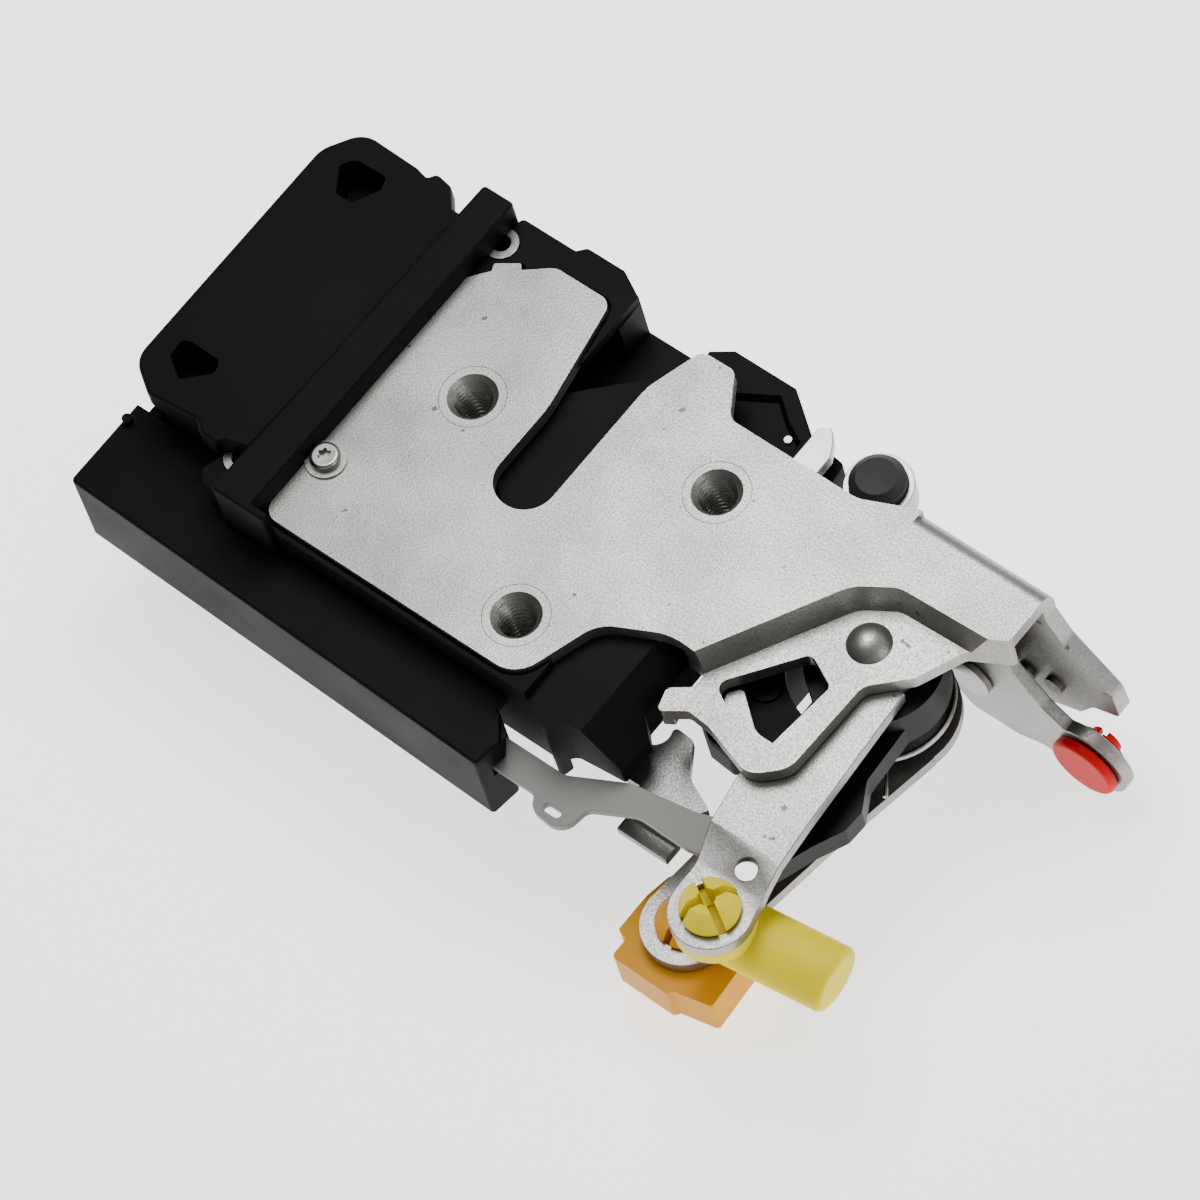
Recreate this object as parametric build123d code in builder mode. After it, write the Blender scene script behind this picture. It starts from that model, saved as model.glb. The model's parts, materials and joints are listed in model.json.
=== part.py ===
from build123d import *
import os
from math import asin, cos, pi, radians, sin

os.makedirs("parts", exist_ok=True)

# Origin: centre of the lower tapped bush on the outer face of the face plate.
# +Z leaves the face plate towards the door edge, +X runs along the plate's long lower edge
# from the actuator to the levers, +Y runs towards the mouth of the striker slot.
# All lengths are in millimetres.

# Face plate
sheet = 3.0
bush_a = (-33.1, 28.5)
bush_b = (13.5, 37.3)
bush_c = (0.0, 0.0)
bushes = [bush_a, bush_b, bush_c]
plate_left = -49.0
plate_bottom = -9.1
plate_right = 71.9
plate_top = 54.0
bend_radius = 3.2
slot_left = -20.9
slot_right = -9.3
slot_end = 15.4
slot_radius = 5.7
joggle_drop = 5.5
joggle_taper = 16.0
joggle_wall = 2.4
flange_depth = 40.0
dimple_radius = 1.9
dimple_height = 0.8
dimples = [(64.3, -30.9), (70.4, -29.6)]
hook_lip = 2.0

# Tapped bushes, M8
tap_radius = 3.4
bush_head_radius = 6.0
bush_radius = 7.0
bush_c_tail = 8.0
pivot_clearance = 0.06

# Latch housing and back plate
housing_depth = 12.0
housing_floor = 2.0
housing_left = plate_left
housing_bottom = -10.5
housing_top = 61.0
rim_height = 2.0
skirt_depth = 6.0
rim_gap = 0.6
guide_pin = (12.9, 55.2)
guide_pin_radius = 0.7
guide_pin_top = -8.8
back_sheet = 2.0
housing_back = -sheet - housing_depth
back_face = housing_back - back_sheet

# Fork bolt, drawn unlatched, and pawl
claw_radius = 31.0
claw_hook_radius = 27.0
claw_hub = 13.5
claw_leg = (-38.0, 45.0)
claw_hook = (73.0, 110.0)
pawl_notch = (-24.0, -10.0)
pawl_notch_radius = 27.0
claw_travel = 67.0
claw_swing_room = 3.0
claw_top = -4.0
claw_spring_gap = 0.4
claw_spring_room = 0.8
claw_core_top = -5.5
claw_core_sheet = 3.0
cavity_gap = 0.6
pawl_top = -5.0
pawl_sheet = 5.0
pawl_hub = 9.0
pawl_lift = 7.1
pin_radius = 2.0
pin_place = (7.5, 12.5)
pin_lug = 3.4
pin_swing_gap = 2.3

# Detent lever behind the back plate
detent_top = -19.2
detent_sheet = 2.0
detent_hub = 9.5
pad_drop = 4.0

# Torx screw and eyelets
screw_place = (plate_left + 2.8, 4.9)
screw_radius = 1.9
screw_head_radius = 2.7
screw_grip = 6.0
washer_radius = 3.7
washer_sheet = 0.5
screw_head_height = 1.6
screw_head_round = 0.7
torx_radius = 0.95
torx_lobe = 0.32
torx_depth = 1.1
seat_gap = 0.2
eyelet_radius = 3.1
eyelet_bore = 1.7
eyelet_wall = 0.5
eyelet_upper = (plate_left + 0.2, 55.1)
eyelet_lower = (plate_left - 9.9, -2.9)
eyelet_flange = 0.7
eyelet_length = 7.6
eyelet_upper_top = -1.6
eyelet_lower_top = -0.7

# Actuator case, cover and slide box
case_wall = 2.0
case_bottom = -26.0
case_top = -9.5
box_top = -8.0
cover_top = 4.0
cover_slab = 4.0
ledge_top = 0.0
bar_top = 5.0
bar_left = plate_left - 8.0
bar_right = plate_left + 3.8
bar_foot = 1.5
pocket_depth = 8.0
pocket_wall = 1.4
pocket_x = -75.4
pocket_lower_y = 4.9
pocket_room = 6.6
cover_end_room = 8.8
lower_pocket = [(-4.7, -0.7), (-5.0, 2.8), (-3.3, 3.5), (3.1, 3.4), (4.1, 1.1), (-0.3, -3.4)]
upper_pocket = [(-4.5, 1.1), (-3.4, 3.0), (-2.0, 3.7), (4.0, 3.8), (4.8, 1.4), (2.3, -3.5), (-1.3, -3.6)]
peg_place = (-84.2, -6.0)
peg_radius = 0.9
peg_height = 1.6
socket_x = (-80.0, -60.0)
socket_y = (28.0, 44.0)
socket_depth = 12.0
socket_wall = 1.6
terminal_count = 5
terminal_pitch = 3.2
terminal_size = (1.5, 0.7)

# Lock motor, worm drive and rack
motor_x = -71.0
motor_z = -13.2
motor_radius = 10.0
motor_start = 11.0
motor_length = 27.0
motor_cap = 4.0
motor_can_sheet = 1.2
motor_nose_radius = 3.0
motor_nose = 1.0
rotor_gap = 3.2
rotor_start = 4.0
rotor_room = 9.0
shaft_end_room = 1.6
shaft_radius = 1.0
worm_radius = 3.5
worm_start = 7.0
worm_length = 18.0
worm_pitch = 2.2
worm_turns = 7
worm_gap = 0.2
worm_crest = 1.0
worm_lead = 1.4
wheel_radius = 8.0
wheel_height = 3.6
wheel_teeth = 24
pinion_teeth = 10
pinion_radius = 5.0
pinion_height = 6.5
tooth_depth = 1.3
tooth_mesh = 0.8
tooth_width = 0.9
axle_radius = 1.5
wheel_y = -9.5
rack_bottom = -23.0
rack_teeth = 6
rack_end = -1.6
rack_step = 1.9

# Lever stack on the pivot rivet
pivot = (50.3, 31.0)
pivot_radius = 4.0
dome_height = 2.2
pivot_washer_radius = 6.4
lever_sheet = 2.5
lever_gap = 0.3
ring_hole = 5.0
outside_ring = (56.8, -21.0)
outside_ring_radius = 7.4
outside_hub = 8.4
outside_step = 2.2
step_start = -8.6
step_end = -15.0
stud_place = (57.5, -12.2)
stud_radius = 1.95
bobbin_radius = 12.0
drum_radius = 10.4
lever_spring_drop = 3.9
lock_arm_top = -15.8
lock_arm_sheet = 2.5
lock_pin = (49.5, -8.5)
lock_pin_radius = 1.5
lock_pin_boss = 3.4
lock_pin_rise = 0.6
lock_arm_bottom = -20.5
inside_top = -28.5
inside_ring = (47.1, -19.9)
inside_ring_radius = 8.0
inside_hub = 12.5
spring_wire = 0.9
link_top = -13.9
link_sheet = 1.5
link_room = 0.6
link_eye = (21.8, -20.8)

# Rod clips
stud_play = 0.06
clip_lip = 0.35
clip_disc = 7.2
clip_slot = 1.4
clip_slot_angle = -28.0
clip_bore = 1.6
yellow_angle = 6.6
yellow_offset = 2.0
yellow_tail = 6.0
yellow_length = 21.8
yellow_drop = 2.0
yellow_bore_depth = 22.0
yellow_sink = 0.8
yellow_half_width = 6.2
yellow_half_height = 4.8
rod_bore = 2.5
orange_height = 8.5
orange_bore_depth = 13.0
orange_bore_drop = 4.6
orange_bore_y = -3.2
orange_left = 10.0

# Knob lever in the plane of the flange
knob_front = 45.0
knob_pivot = (57.0, -30.0)
knob_pivot_radius = 3.0
knob_flange_radius = 5.0
knob_head_radius = 4.6
knob_head = 1.1
knob_ring = (81.0, -36.8)
knob_ring_radius = 7.8
red_disc = 6.4
red_hole = 4.2
red_sheet = 1.8
red_stud = 2.6
red_lip = 1.2
red_bore = 1.4
red_slot = 4.0

# Lever housing
boss_place = (38.2, 16.9)
boss_radius = 2.8
boss_rise = 0.6
frame_top = -12.0
frame_sheet = 2.4
frame_depth = 20.0
frame_post = 9.0

# Rubber bumper
bumper_place = (32.4, 56.0)
bumper_radius = 5.0
bumper_top = -3.4
bumper_height = 9.6
bumper_chamfer = 1.4
bracket_ring = 1.2
bracket_ring_top = -6.5
bracket_ring_height = 5.4

bracket_top = -joggle_drop
bracket_bottom = bracket_top - sheet
outside_top = bracket_bottom - lever_gap
outside_bottom = outside_top - lever_sheet
bobbin_top = outside_bottom - lever_gap
bobbin_bottom = inside_top + lever_gap
inside_bottom = inside_top - lever_sheet
rivet_tail = 1.8
outside_ring_top = outside_top - outside_step
outside_ring_bottom = outside_ring_top - lever_sheet
flange_inner = plate_top - sheet
wheel_x = motor_x + worm_radius + worm_gap + wheel_radius
wheel_bottom = motor_z - wheel_height / 2
link_bottom = link_top - link_sheet
knob_back = knob_front + lever_sheet
chamber_floor = -sheet - housing_depth + housing_floor
claw_bottom = chamber_floor + claw_spring_room + 2 * spring_wire + claw_spring_gap
motor_end = motor_start + motor_length + motor_cap
pocket_upper_y = motor_end + pocket_room
actuator_top = pocket_upper_y + cover_end_room


def rounded(points, radius):
    """A closed face through the points, with each corner rounded."""
    with BuildSketch() as face:
        with BuildLine():
            FilletPolyline(*points, radius=radius, close=True)
        make_face()
    return face.sketch


def corners(*rows):
    """A closed face from rows of x, y and corner radius."""
    return rounded([(x, y) for x, y, r in rows], [r for x, y, r in rows])


def sector(radius, start, end):
    """A pie slice about the origin, from one angle to another in degrees."""
    with BuildSketch() as face:
        with BuildLine():
            arc = CenterArc((0, 0), radius, start, end - start)
            Line((0, 0), arc @ 0)
            Line((0, 0), arc @ 1)
        make_face()
    return face.sketch


def level(z):
    return Plane.XY.offset(z)


def turned(x, y, z, angle):
    """A level plane at a point, turned by an angle in degrees."""
    return Plane(origin=(x, y, z), x_dir=(cos(radians(angle)), sin(radians(angle)), 0), z_dir=(0, 0, 1))


def along_y(y):
    """A plane normal to Y whose sketch x is the model's x and sketch y is the model's z."""
    return Plane(origin=(0, y, 0), x_dir=(1, 0, 0), z_dir=(0, -1, 0))


def finish(part, name):
    part.label = name
    export_step(part, f"parts/{name}.step")


plate_face = corners(
    (plate_left, plate_bottom, 3.0), (7.2, plate_bottom, 6.0), (12.6, 6.4, 7.0), (24.0, 11.8, 12.0),
    (31.0, 11.4, 1.4), (30.9, 8.0, 1.4), (27.2, 5.4, 1.0), (28.5, 1.0, 0.8), (33.0, 4.0, 1.5),
    (37.6, 3.6, 4.0), (48.6, 0.2, 4.0), (53.8, 5.0, 5.0), (54.4, 24.0, 3.5), (60.6, 30.0, 3.0),
    (64.6, 38.6, 1.5), (plate_right, 42.4, 1.5), (plate_right, plate_top, 0),
    (44.5, plate_top, 4.0), (34.0, 49.6, 6.0), (6.4, 49.6, 3.0), (1.2, 57.4, 1.8),
    (-5.8, 57.3, 2.2), (slot_right, 46.5, 12.0), (slot_right, slot_end, slot_radius),
    (slot_left, slot_end, slot_radius), (slot_left, 34.0, 20.0), (slot_left - 4.1, 56.2, 2.6),
    (plate_left + 11.8, 56.2, 3.0), (plate_left + 7.0, 52.5, 0.3), (plate_left + 6.1, 53.5, 0.3),
    (plate_left + 2.2, 50.9, 0.3), (plate_left + 2.8, 49.5, 0.3), (plate_left, 46.2, 1.5),
)
joggle_face = corners(
    (23.5, 1.6, 0), (43.6, 36.0, 8.0), (50.5, 40.2, 6.0), (90.0, 41.4, 0), (90.0, -12.0, 0), (23.5,
                                                                                              -12.0, 0),
)
window_face = corners(
    (33.4, 10.6, 1.8), (43.6, 24.0, 1.5), (50.0, 20.9, 1.3), (48.2, 4.4, 1.8), (41.6, 6.2, 6.0),
)
flange_face = corners(
    (47.5, 0, 0), (47.5, -6.0, 1.0), (42.0, -7.0, 1.5), (42.0, -28.0, 4.0), (50.0, -flange_depth, 4.0),
    (64.0, -flange_depth, 3.0), (75.0, -34.8, 1.5), (78.5, -29.6, 2.5), (84.6, -26.8, 1.5),
    (83.8, -20.6, 3.0), (74.8, -11.4, 3.0), (plate_right, -5.6, 1.0), (plate_right, 0, 0),
)


def make_face_plate():
    """Pressed plate: striker slot, lowered bracket with window and hook, and side flange."""
    with BuildPart() as face_plate:
        with BuildSketch(level(0)):
            add(plate_face)
        extrude(amount=bracket_bottom)
        with BuildSketch(level(-sheet)):
            Rectangle(400, 400)
            with BuildSketch(mode=Mode.PRIVATE) as dish:
                add(joggle_face)
                offset(amount=joggle_wall)
            add(dish.sketch, mode=Mode.SUBTRACT)
        extrude(amount=bracket_bottom, mode=Mode.SUBTRACT)
        with BuildSketch(level(0)):
            add(joggle_face)
        extrude(amount=bracket_top, taper=joggle_taper, mode=Mode.SUBTRACT)
        with BuildSketch(level(0)):
            add(window_face)
            with Locations(*bushes):
                Circle(bush_head_radius)
            with Locations(screw_place):
                Circle(screw_radius)
            with Locations(pivot):
                Circle(pivot_radius)
        extrude(amount=bracket_bottom, mode=Mode.SUBTRACT)
        with BuildSketch(along_y(plate_top)):
            add(flange_face)
        extrude(amount=sheet)
        with BuildSketch(along_y(flange_inner)):
            with Locations(*dimples):
                Circle(dimple_radius)
        extrude(amount=dimple_height)
        with BuildSketch(level(bracket_bottom)):
            add(corners((27.4, 5.2, 0.6), (28.6, 1.3, 0.4), (30.6, 2.4, 0.4), (29.6, 6.0, 0.6)))
        extrude(amount=-hook_lip)
        with BuildSketch(Plane(origin=(44.6, plate_top, 0), x_dir=(0, 1, 0), z_dir=(1, 0, 0))):
            Rectangle(bend_radius, bend_radius, align=(Align.MAX, Align.MAX))
            with Locations((-bend_radius, -bend_radius)):
                Circle(bend_radius, mode=Mode.SUBTRACT)
        extrude(amount=60, mode=Mode.SUBTRACT)
    finish(face_plate.part, "face_plate")


def make_tapped_bushes():
    """Three steel bushes riveted into the plate; two of them carry the fork bolt and the pawl."""
    with BuildPart() as tapped_bushes:
        for place in bushes:
            tail = bush_c_tail if place == bush_c else 0
            with BuildSketch(level(0)):
                with Locations(place):
                    Circle(bush_head_radius)
            extrude(amount=back_face - tail)
            with BuildSketch(level(-sheet)):
                with Locations(place):
                    Circle(bush_radius)
            extrude(amount=-housing_depth)
            with BuildSketch(level(0)):
                with Locations(place):
                    Circle(tap_radius)
            extrude(amount=back_face - tail, mode=Mode.SUBTRACT)
    finish(tapped_bushes.part, "tapped_bushes")


housing_outline = corners(
    (housing_left, housing_bottom, 1.0), (12.4, housing_bottom, 1.0), (15.8, -13.2, 1.0),
    (18.8, -10.2, 2.0), (28.4, -9.4, 0.6), (28.4, -2.2, 0.6), (26.2, 0.0, 0.6), (26.2, 24.0, 2.0),
    (27.6, 46.0, 1.0), (25.0, 50.4, 1.0), (24.4, 56.4, 1.0), (17.0, 57.2, 1.0), (8.4, 63.4, 1.0),
    (-5.0, 63.4, 1.0), (-10.0, 60.0, 3.0), (slot_left - 1.5, 60.0, 1.5), (slot_left - 6.5, 62.6, 1.2),
    (housing_left + 13.4, 62.6, 1.0), (housing_left + 12.0, housing_top, 0.6), (housing_left,
                                                                                housing_top, 1.0),
)


def make_latch_housing():
    """Plastic housing: chambers for the fork bolt and pawl, the striker throat and a raised rim."""
    with BuildPart() as latch_housing:
        with BuildSketch(level(housing_back)):
            add(housing_outline)
        extrude(amount=housing_depth + rim_height)
        with BuildSketch(level(-sheet)):
            with BuildSketch(mode=Mode.PRIVATE) as plate_room:
                add(plate_face)
                offset(amount=rim_gap, kind=Kind.INTERSECTION)
            add(plate_room.sketch)
            add(corners((slot_left - 1, 10, 0), (80, 10, 0), (80, 80, 0), (slot_left - 1.5, 80, 0)))
            add(corners((10.0, -30.0, 0), (80, -30, 0), (80, 12, 0), (10.0, 12, 0)))
        extrude(amount=rim_height + 1, mode=Mode.SUBTRACT)
        with BuildSketch(Plane(origin=(*bush_a, -sheet))):
            add(sector(claw_radius + cavity_gap, claw_leg[0] - claw_travel - claw_swing_room,
                       claw_leg[1] + claw_swing_room))
            add(sector(claw_hook_radius + cavity_gap, claw_leg[1], claw_hook[1] + claw_swing_room))
            Circle(claw_hub + cavity_gap)
        extrude(amount=chamber_floor + sheet, mode=Mode.SUBTRACT)
        with BuildSketch(level(-sheet)):
            add(corners((slot_left, slot_end, 5.0), (slot_right + 0.6, slot_end, 5.0),
                        (slot_right + 0.6, 70, 0), (slot_left - 2.0, 70, 0), (slot_left, 40, 8)))
        extrude(amount=chamber_floor + sheet, mode=Mode.SUBTRACT)
        with BuildSketch(level(-sheet)):
            add(corners((-37.0, housing_bottom + 1.0, 1), (0, housing_bottom + 1.0, 0), (0, 8.6, 0),
                        (-4.0, 12.0, 2), (-37.0, 6.0, 2)))
            with Locations(bush_c):
                Circle(pawl_hub + cavity_gap)
            with Locations(pin_place):
                Circle(pin_lug + pin_swing_gap)
            add(corners((-7.6, 4.6, 0), (9.3, 1.2, 0), (12.4, 9.6, 0), (4.0, 17.0, 0)))
        extrude(amount=pawl_top - pawl_sheet - cavity_gap + sheet, mode=Mode.SUBTRACT)
        with BuildSketch(level(housing_back)):
            with Locations(*bushes):
                Circle(bush_radius)
            with Locations(pin_place):
                Circle(pin_radius + pin_swing_gap)
            with Locations(guide_pin):
                Circle(guide_pin_radius)
        extrude(amount=housing_depth, mode=Mode.SUBTRACT)
        with BuildSketch(level(-sheet - screw_grip)):
            with Locations(screw_place):
                Circle(screw_radius)
        extrude(amount=screw_grip, mode=Mode.SUBTRACT)
        with BuildSketch(level(eyelet_upper_top - eyelet_length)):
            with Locations(eyelet_upper):
                Circle(eyelet_bore + eyelet_wall)
        extrude(amount=eyelet_length + 5, mode=Mode.SUBTRACT)
        with BuildSketch(level(eyelet_upper_top)):
            with Locations(eyelet_upper):
                Circle(eyelet_radius + seat_gap)
        extrude(amount=5, mode=Mode.SUBTRACT)
        with BuildSketch(level(-8.0)):
            add(corners((slot_right + 0.6, 46.0, 0), (40, 46, 0), (40, 80, 0), (slot_right + 0.6, 80, 0)))
        extrude(amount=10, mode=Mode.SUBTRACT)
        with BuildSketch(level(-8.0)):
            add(corners((-6.8, 48.0, 0), (-0.4, 56.8, 0.5), (7.0, 61.0, 0.5), (11.6, 57.6, 0.5),
                        (15.6, 55.6, 0),
                        (15.6, 48.0, 0)))
        extrude(amount=-1.4, taper=30, mode=Mode.SUBTRACT)
        with BuildSketch(along_y(24.5)):
            add(corners((21.5, -sheet, 0), (30.0, -sheet, 0), (30.0, -13.0, 0)))
        extrude(amount=40, mode=Mode.SUBTRACT)
        with BuildSketch(level(housing_back)):
            add(corners((-4.0, housing_bottom, 0), (12.4, housing_bottom, 1.0), (15.8, -13.2, 1.0),
                        (16.6, -detent_hub - 0.5, 0.6), (-4.0, -detent_hub - 0.5, 0)))
        extrude(amount=-skirt_depth)
    finish(latch_housing.part, "latch_housing")


def make_back_plate():
    """Steel plate that closes the housing and holds the tails of the bushes."""
    with BuildPart() as back_plate:
        with BuildSketch(level(back_face)):
            add(corners((-45.0, -7.0, 3), (12.0, -8.0, 3), (25.0, -6.0, 3), (25.0, 22.0, 4),
                        (24.0, 48.0, 4),
                        (-6.0, 50.0, 4), (-10.0, 44.0, 2), (-22.0, 44.0, 2), (-26.0, 56.0, 4),
                        (-45.0, 57.0, 4)))
            with Locations(*bushes):
                Circle(bush_head_radius, mode=Mode.SUBTRACT)
            with Locations(pin_place):
                Circle(pin_radius + pin_swing_gap, mode=Mode.SUBTRACT)
        extrude(amount=back_sheet)
    finish(back_plate.part, "back_plate")

    with BuildPart() as stop_tab:
        with BuildSketch(level(-sheet)):
            add(corners((18.6, 46.2, 0.3), (23.9, 46.2, 0.3), (23.9, 54.4, 0.8), (22.4, 57.0, 0.6),
                        (20.6, 59.0, 0.6), (18.6, 57.6, 0.8)))
        extrude(amount=-sheet + 0.6)
    finish(stop_tab.part, "stop_tab")

    with BuildPart() as guide_pin_part:
        with BuildSketch(level(guide_pin_top)):
            with Locations(guide_pin):
                Circle(guide_pin_radius)
        extrude(amount=housing_back - guide_pin_top)
    finish(guide_pin_part.part, "guide_pin")


def claw_sketch():
    """The fork bolt's outline about its own pivot, drawn unlatched."""
    with BuildSketch() as face:
        add(sector(claw_radius, *claw_leg))
        add(sector(claw_hook_radius, *claw_hook))
        Circle(claw_hub)
        with BuildSketch(mode=Mode.PRIVATE) as notch:
            add(sector(claw_radius + 5, *pawl_notch))
            Circle(pawl_notch_radius, mode=Mode.SUBTRACT)
        add(notch.sketch, mode=Mode.SUBTRACT)
        Circle(bush_radius + pivot_clearance, mode=Mode.SUBTRACT)
    return face.sketch


def make_claw():
    """Fork bolt: a steel core inside a plastic jacket, turning on the first bush."""
    core_bottom = claw_core_top - claw_core_sheet
    with BuildPart() as claw_core:
        with BuildSketch(Plane(origin=(*bush_a, core_bottom))):
            add(claw_sketch())
        extrude(amount=claw_core_sheet)
    finish(claw_core.part, "claw_core")

    with BuildPart() as claw_jacket:
        with BuildSketch(Plane(origin=(*bush_a, claw_core_top))):
            add(claw_sketch())
        extrude(amount=claw_top - claw_core_top)
        with BuildSketch(Plane(origin=(*bush_a, claw_bottom))):
            add(claw_sketch())
        extrude(amount=core_bottom - claw_bottom)
    finish(claw_jacket.part, "claw_jacket")


def coil(centre, z, radius, wire, legs):
    """A closed turn of spring wire with straight legs that leave it."""
    with BuildPart() as spring:
        with BuildSketch(Plane(origin=(centre[0], centre[1] + radius, z), x_dir=(0, 1, 0),
                               z_dir=(1, 0, 0))):
            Circle(wire)
        revolve(axis=Axis((*centre, z), (0, 0, 1)))
        for start, end in legs:
            with BuildLine():
                leg = Line(start, end)
            with BuildSketch(Plane(origin=start, z_dir=leg % 0)):
                Circle(wire)
            sweep(path=leg)
    return spring.part


def make_latch_springs():
    """Torsion springs that open the fork bolt and press the pawl onto it."""
    claw_spring_z = claw_bottom - spring_wire - claw_spring_gap
    claw_spring = coil(bush_a, claw_spring_z, 9.4, spring_wire, [
        ((bush_a[0] - 9.4, bush_a[1], claw_spring_z), (bush_a[0] - 9.4, bush_a[1] + 9.0, claw_spring_z))])
    finish(claw_spring, "claw_spring")
    pawl_spring_z = detent_top - detent_sheet - 1.4
    pawl_spring = coil(bush_c, pawl_spring_z, 7.2, spring_wire, [
        ((-7.09, -1.25, pawl_spring_z), (-8.0, 15, pawl_spring_z))])
    finish(pawl_spring, "pawl_spring")


def make_pawl():
    """Pawl on the third bush, with the detent lever behind the back plate and the pin that ties them."""
    tip_x = bush_a[0] - 0.2
    with BuildPart() as pawl:
        with BuildSketch(turned(*bush_c, pawl_top - pawl_sheet, pawl_lift)):
            Circle(pawl_hub)
            add(corners((-6.0, -8.4, 0), (-26.5, -5.4, 1.0), (tip_x, -3.4, 0.8), (tip_x, 1.2, 0.5),
                        (-27.6, 1.2, 0.5), (-27.2, -2.4, 0.5), (-19.0, -0.6, 3), (-8.0, 5.0, 0)))
            Circle(bush_radius + pivot_clearance, mode=Mode.SUBTRACT)
        with BuildSketch(level(pawl_top - pawl_sheet)):
            with Locations(pin_place):
                Circle(pin_lug)
            add(corners((-5.0, 7.2, 0), (8.4, 2.4, 0), (10.6, 11.0, 0), (5.2, 15.0, 0)))
            with Locations(pin_place):
                Circle(pin_radius, mode=Mode.SUBTRACT)
            Circle(bush_radius + pivot_clearance, mode=Mode.SUBTRACT)
        extrude(amount=pawl_sheet)
    finish(pawl.part, "pawl")

    with BuildPart() as detent_pin:
        with BuildSketch(level(detent_top - detent_sheet)):
            with Locations(pin_place):
                Circle(pin_radius)
        extrude(amount=pawl_top - detent_top + detent_sheet)
    finish(detent_pin.part, "detent_pin")

    with BuildPart() as detent_lever:
        with BuildSketch(level(detent_top - detent_sheet)):
            Circle(detent_hub)
            add(corners((2.0, -7.6, 2), (28.4, -7.2, 0), (39.6, -6.6, 0.9), (41.4, -4.2, 0.6),
                        (34.6, -1.2, 4),
                        (30.8, 4.6, 0.8), (26.4, 4.9, 0.8), (28.0, 0.6, 3), (22.0, -1.0, 3), (14.0,
                                                                                              14.0, 3),
                        (7.0, 17.0, 3), (-2.0, 8.0, 2)))
            Circle(bush_head_radius + pivot_clearance, mode=Mode.SUBTRACT)
            with Locations(pin_place):
                Circle(pin_radius, mode=Mode.SUBTRACT)
        extrude(amount=detent_sheet)
        with BuildSketch(Plane(origin=(28.6, 0, detent_top), x_dir=(0, 1, 0), z_dir=(1, 0, 0))):
            add(corners((-6.6, 0, 0.4), (-8.0, 0, 0.8), (-11.6, -pad_drop, 0.6), (-14.4, -pad_drop, 0.3),
                        (-14.4, -pad_drop - detent_sheet, 0.3), (-10.8, -pad_drop - detent_sheet, 0.6),
                        (-6.6, -detent_sheet, 0.3)))
        extrude(amount=10.6)
    finish(detent_lever.part, "detent_lever")


def make_fasteners():
    """Torx screw with its washer, and two hollow rivets that join the housing to the actuator."""
    with BuildPart() as screw_washer:
        with BuildSketch(level(0)):
            with Locations(screw_place):
                Circle(washer_radius)
                Circle(screw_radius, mode=Mode.SUBTRACT)
        extrude(amount=washer_sheet)
    finish(screw_washer.part, "screw_washer")

    with BuildPart() as torx_screw:
        with BuildSketch(level(washer_sheet)):
            with Locations(screw_place):
                Circle(screw_head_radius)
        extrude(amount=screw_head_height)
        fillet(torx_screw.faces().sort_by(Axis.Z)[-1].edges(), radius=screw_head_round)
        with BuildSketch(level(washer_sheet)):
            with Locations(screw_place):
                Circle(screw_radius)
        extrude(amount=-sheet - washer_sheet - screw_grip)
        with BuildSketch(level(washer_sheet + screw_head_height)):
            with Locations(screw_place):
                Circle(torx_radius)
                with PolarLocations(torx_radius, 6):
                    Circle(torx_lobe)
        extrude(amount=-torx_depth, mode=Mode.SUBTRACT)
    finish(torx_screw.part, "torx_screw")


def make_eyelets():
    """Two hollow rivets, half hidden by the bar, that join the actuator to the housing."""
    with BuildPart() as eyelet_rivets:
        for place, top in ((eyelet_upper, eyelet_upper_top), (eyelet_lower, eyelet_lower_top)):
            with BuildSketch(level(top)):
                with Locations(place):
                    Circle(eyelet_radius)
            extrude(amount=eyelet_flange)
            with BuildSketch(level(top)):
                with Locations(place):
                    Circle(eyelet_bore + eyelet_wall)
            extrude(amount=-eyelet_length)
            with BuildSketch(level(top + eyelet_flange)):
                with Locations(place):
                    Circle(eyelet_bore)
            extrude(amount=-eyelet_length - eyelet_flange, mode=Mode.SUBTRACT)
    finish(eyelet_rivets.part, "eyelet_rivets")


case_outline = corners(
    (-85.4, -20.3, 1.0), (8.2, -23.2, 0.8), (9.0, -17.4, 0.8), (5.4, -13.0, 2.0), (plate_left, -12.6, 0),
    (plate_left, actuator_top + 0.6, 0), (-80.0, actuator_top - 1.0, 3.0), (-83.4, actuator_top - 7.4,
                                                                            3.0),
    (-83.4, -2.0, 0), (-85.4, -2.0, 0),
)
cover_outline = corners(
    (-57.0, -2.0, 0), (-61.6, -3.4, 1.0), (-62.6, -4.6, 1.0), (-66.0, -4.4, 1.0), (-68.0, -2.8, 1.0),
    (-78.6, -3.6, 3.0), (-85.0, 0.6, 5.0), (-85.0, actuator_top - 6.8, 6.0), (-80.6, actuator_top, 5.0),
    (-68.4, actuator_top - 0.4, 1.5), (-65.6, actuator_top - 1.0, 0.8), (-64.6, actuator_top + 0.6, 1.2),
    (-61.0, actuator_top, 1.5), (-58.0, actuator_top - 3.4, 1.0), (-55.0, actuator_top - 3.4, 0),
)
cover_wall = corners(
    (-58.0, -2.4, 0), (-78.0, -2.4, 3.0), (-83.4, 2.0, 4.0), (-83.4, actuator_top - 7.4, 5.0),
    (-79.8, actuator_top - 1.6, 4.0), (-61.5, actuator_top - 1.6, 2.0), (-58.6, actuator_top - 4.8, 0),
    (-50.5, actuator_top - 4.8, 0), (-50.5, -2.4, 0),
)
bar_outline = corners(
    (bar_left, housing_bottom - bar_foot, 1.0), (bar_right, housing_bottom - bar_foot, 0.6),
    (bar_right, housing_bottom, 0), (plate_left, housing_bottom, 0),
    (plate_left, housing_top - 0.6, 0.8), (bar_left + 1.2, housing_top - 0.6, 0.8),
)
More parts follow.
